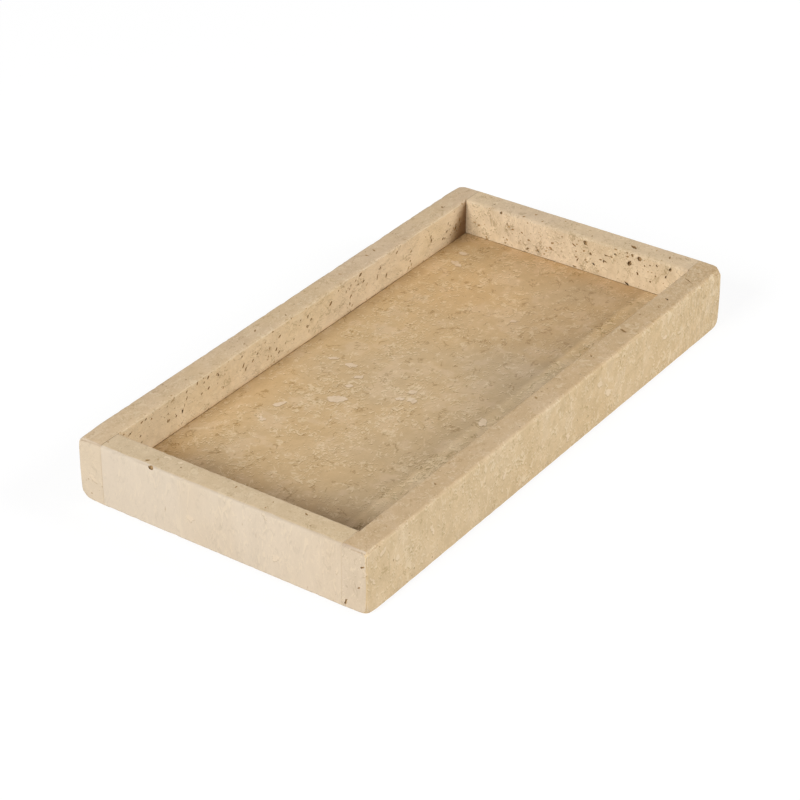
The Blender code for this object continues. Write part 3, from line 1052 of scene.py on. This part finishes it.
far_top_pores = ((142.8, -31.5, 2.1, 1.0, 56), (143.2, -51.9, 1.2, 0.6, 17), (144.3, 27.1, 0.9, 0.7, 156))
near_chips = ((36.9, 32.3, 1.5, 1.0, 0),)
right_end_chips = ((-67.4, 4.7, 1.7, 0.5, 109), (-76.1, 25.6, 1.3, 0.5, 150), (-74.2, 14.5, 0.9, 0.35, 140))


def seen_pores(face, spots):
    """Seen pores on one face. Each spot is (along, up, half length, half height, lean)."""
    return [seen_pore(face, *spot) for spot in spots]


def pores_facing_near(spots, x):
    """Seen pores on a face that looks to -X, listed by Y and Z."""
    return seen_pores(face_place((x, 0, 0), (0, 1, 0), (0, 0, 1)), spots)


def finish_stone(piece, node, material, pores):
    """Gives a stone piece its materials, its pores and its place in the frame."""
    piece.data.materials.append(material)
    piece.data.materials.append(pore_wall)
    open_pores(piece, pores)
    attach(piece, "root")
    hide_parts(node)


def finish_rail(name, node, low, high, material, seed, scatter, seen):
    """One rail: its blank, and its pores face by face, scattered ones first."""
    rail = make_rail_blank(name, low, high, eased_block, rim_cutter, seed)
    faces = box_faces(*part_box(node))
    pores = [scatter_pores(faces[side], settings, seed * seeds_per_piece + index)
             for index, (side, settings) in enumerate(scatter.items())]
    finish_stone(rail, node, material, pores + seen)


# The pores of each rail's faces, by the side that they look to
right_pores = {"-y": hardly_any_pores, "+z": few_pores, "+y": some_pores, "-x": hardly_any_pores,
               "+x": few_pores, "-z": few_pores}
left_pores = right_pores | {"-y": leaning_pores}
near_pores = {"-x": hardly_any_pores, "+z": few_pores, "+x": some_pores, "-z": few_pores}
far_pores = near_pores | {"-x": many_pores, "+z": some_pores}

reach_low = Vector((-half_length, -half_width, rail_bottom)) - Vector((overrun, overrun, overrun))
reach_high = Vector((half_length, half_width, rail_top)) + Vector((overrun, overrun, overrun))
finish_rail("right_rail", "long_rail_right", reach_low, (reach_high.x, -well_y, reach_high.z),
            right_stone, 1, right_pores,
            seen_pores(top_face, right_top_pores) + pores_facing_near(right_end_chips, -half_length))
finish_rail("left_rail", "long_rail_left", (reach_low.x, well_y, reach_low.z), reach_high,
            left_stone, 2, left_pores,
            seen_pores(top_face, left_top_pores)
            + seen_pores(face_place((0, well_y, 0), (1, 0, 0), (0, 0, 1)), left_wall_pores))
finish_rail("near_end_rail", "end_rail_near", (reach_low.x, -end_rail_side, reach_low.z),
            (-well_x, end_rail_side, reach_high.z), near_stone, 3, near_pores,
            seen_pores(top_face, near_top_pores) + pores_facing_near(near_chips, -half_length))
finish_rail("far_end_rail", "end_rail_far", (well_x, -end_rail_side, reach_low.z),
            (reach_high.x, end_rail_side, reach_high.z), far_stone, 4, far_pores,
            seen_pores(top_face, far_top_pores) + pores_facing_near(far_wall_pores, well_x))
remove_object(eased_block)
remove_object(rim_cutter)


def make_base_plate():
    plate = object_from_bmesh("base_plate", box_bmesh(slab_low, slab_high))
    bevel = plate.modifiers.new("arris", "BEVEL")
    bevel.width = slab_arris
    bevel.segments = 3
    mesh = settled(plate)
    shape = bmesh.new()
    shape.from_mesh(mesh)
    slice_evenly(shape, slab_low, slab_high)
    shape.to_mesh(mesh)
    shape.free()
    plate.data = mesh
    faces = box_faces(slab_low, slab_high)
    pores = [scatter_pores(faces["+z"], tiny_pores, 51), scatter_pores(faces["-z"], some_pores, 52)]
    finish_stone(plate, "base_slab", base_stone, pores)


def finish_resin(piece, material):
    piece.data.materials.append(material)
    piece.data.shade_smooth()
    piece.data.set_sharp_from_angle(angle=sharp_angle)
    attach(piece, "root")


def make_rail_joints():
    """Thin sheets of resin between the ends of the short rails and the long rails."""
    sunk_block = make_eased_block("sunk_block", resin_sink)
    for name, along, across in (("near_right", -1, -1), ("near_left", -1, 1),
                                ("far_right", 1, -1), ("far_left", 1, 1)):
        ends_x = sorted((along * (well_x + resin_sink), along * half_length))
        ends_y = sorted((across * end_rail_side, across * well_y))
        low, high = zip(ends_x, ends_y, (rail_bottom, rail_top))
        sheet = object_from_bmesh("resin_" + name, box_bmesh(low, high))
        add_boolean(sheet, sunk_block, "INTERSECT", "EXACT")
        sheet.data = settled(sheet)
        sheet.data.materials.clear()
        finish_resin(sheet, stained_resin if name == "near_left" else joint_resin)
    remove_object(sunk_block)


def make_floor_joint():
    """A bead of resin round the base plate, between it and the rails."""
    low_z = rail_bottom + resin_sink
    high_z = floor_level - resin_sink
    inner = (slab_high.x, slab_high.y)
    outer = (well_x, well_y)
    section = ((outer, low_z), (outer, high_z), (inner, high_z), (inner, low_z))
    rings = [[(along * reach_x, across * reach_y, height) for along, across in tray_corners]
             for (reach_x, reach_y), height in section]
    finish_resin(make_strip("resin_floor", rings), floor_resin)


make_base_plate()
make_rail_joints()
make_floor_joint()


# Felt pads: the CAD discs keep their shape and get a felt finish

def new_felt():
    material, shader, coordinates = new_finish("pressed_felt")
    fibres = noise_value(coordinates["Object"], 2600.0, 4.0, 0.7)
    cloud = noise_value(coordinates["Object"], 300.0)
    colour = mix(fade(fibres, 0.3, 0.7), srgb(176, 168, 152), srgb(206, 200, 188))
    colour = mix(fade(cloud, 0.4, 0.8), colour, srgb(170, 160, 142))
    add_bump(shader, fibres, 0.7, 0.0002)
    set_inputs(shader, {"Base Color": colour, "Roughness": 0.95, "Sheen Weight": 0.3})
    return material


felt = new_felt()
for name in ("pad_near_right", "pad_near_left", "pad_far_right", "pad_far_left"):
    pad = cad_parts[name]
    pad.data.materials.clear()
    pad.data.materials.append(felt)


# Floor, light and camera

def seen_rays(tree):
    """1 for rays from the camera and for what mirrors and glass show, else 0."""
    rays = add_node(tree, "ShaderNodeLightPath").outputs
    seen = calculate("MAXIMUM", rays["Is Camera Ray"], rays["Is Glossy Ray"])
    return calculate("MAXIMUM", seen, rays["Is Transmission Ray"])


def new_floor_finish():
    """Pale floor: it takes the tray's shadow, and the camera sees it lifted to white."""
    material, shader, _ = new_finish("pale_floor")
    tree = material.node_tree
    set_inputs(shader, {"Base Color": srgb(238, 238, 238), "Roughness": 0.9, "Specular IOR Level": 0.0})
    lift = add_node(tree, "ShaderNodeEmission", {"Strength": 1.085})
    blend = add_node(tree, "ShaderNodeMixShader",
                     {0: times(seen_rays(tree), 0.8), 1: shader.outputs[0], 2: lift.outputs[0]})
    connect(blend.outputs[0], tree.nodes["Material Output"].inputs["Surface"])
    return material


def make_floor():
    shape = bmesh.new()
    bmesh.ops.create_grid(shape, x_segments=1, y_segments=1, size=4.0)
    floor = object_from_bmesh("floor", shape)
    floor.data.materials.append(new_floor_finish())


def make_world():
    world = bpy.data.worlds.new("studio")
    bpy.context.scene.world = world
    world.use_nodes = True
    strength = times_plus(seen_rays(world.node_tree), 1.0 - ambient_level, ambient_level)
    set_inputs(world.node_tree.nodes["Background"], {"Strength": strength, "Color": (1.0, 1.0, 1.0, 1.0)})


def make_lamp(name, direction, size, power):
    """A square soft light, on a line from the tray, that faces the tray."""
    data = bpy.data.lights.new(name, "AREA")
    data.shape = "SQUARE"
    data.size = size
    data.energy = power
    lamp = bpy.data.objects.new(name, data)
    way = Vector(direction).normalized()
    lamp.location = way * lamp_distance
    lamp.rotation_euler = (-way).to_track_quat("-Z", "Y").to_euler()
    bpy.context.scene.collection.objects.link(lamp)


def make_camera():
    back = Vector((sin(camera_azimuth) * cos(camera_elevation), -cos(camera_azimuth) * cos(camera_elevation),
                   sin(camera_elevation)))
    right = (-back).cross(Vector((0, 0, 1))).normalized()
    up = right.cross(-back)
    data = bpy.data.cameras.new("photo_view")
    data.sensor_width = sensor_width
    data.lens = focal_length
    data.clip_start = 0.01
    camera = bpy.data.objects.new("photo_view", data)
    turn = Matrix((right, up, back)).transposed().to_4x4()
    camera.matrix_world = Matrix.Translation(camera_target + back * camera_distance) @ turn
    bpy.context.scene.collection.objects.link(camera)
    bpy.context.scene.camera = camera


make_floor()
make_world()
make_lamp("right_softbox", **right_lamp)
make_lamp("left_softbox", **left_lamp)
make_camera()
bpy.context.scene.view_settings.view_transform = "Standard"
